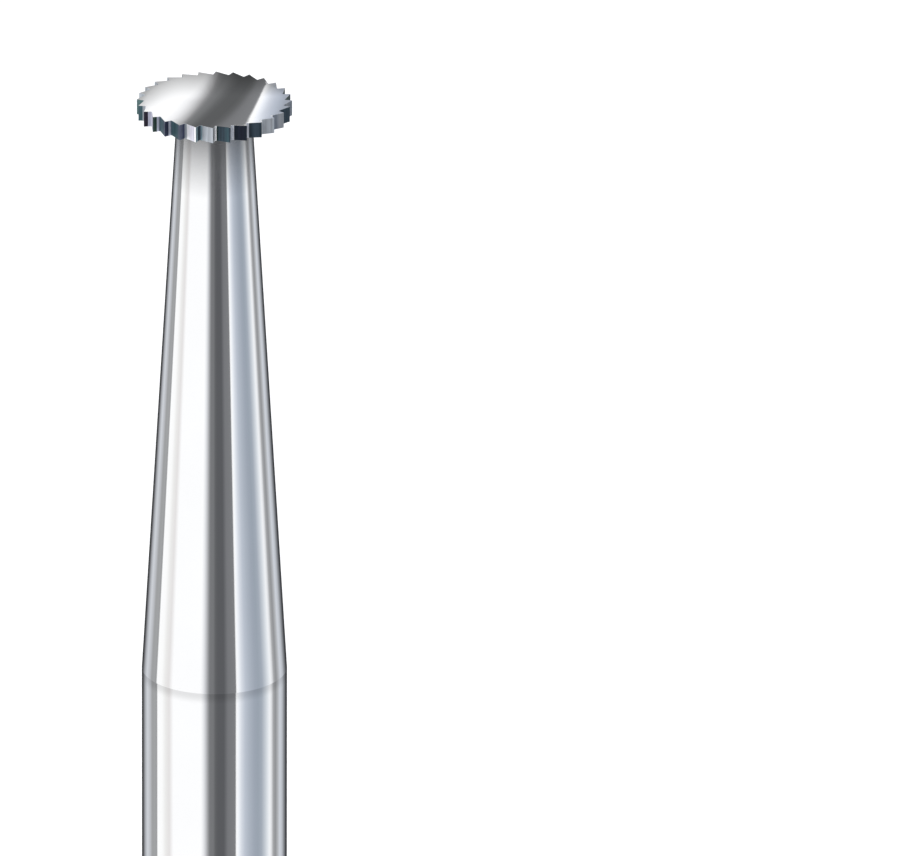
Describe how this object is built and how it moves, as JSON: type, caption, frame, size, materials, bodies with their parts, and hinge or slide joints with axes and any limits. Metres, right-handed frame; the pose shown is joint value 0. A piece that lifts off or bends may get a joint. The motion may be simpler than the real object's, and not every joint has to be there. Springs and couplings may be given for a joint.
{
  "type": "dental bur",
  "caption": "Wheel bur for a straight dental handpiece: thin toothed disc on a tapered neck and a long plain cylindrical shank, one piece of steel.",
  "frame": {"origin": "centre of the flat end of the shank, on the bur's axis", "axes": "+Z along the bur's axis, from the shank's end to the head; +X across the head, close to one tooth's tip"},
  "size_m": [0.0024, 0.0024, 0.0445],
  "materials": {
    "steel": "finely turned and polished, with milled tooth flanks"
  },
  "bodies": {
    "root": {"bur": "steel"}
  },
  "joints": []
}
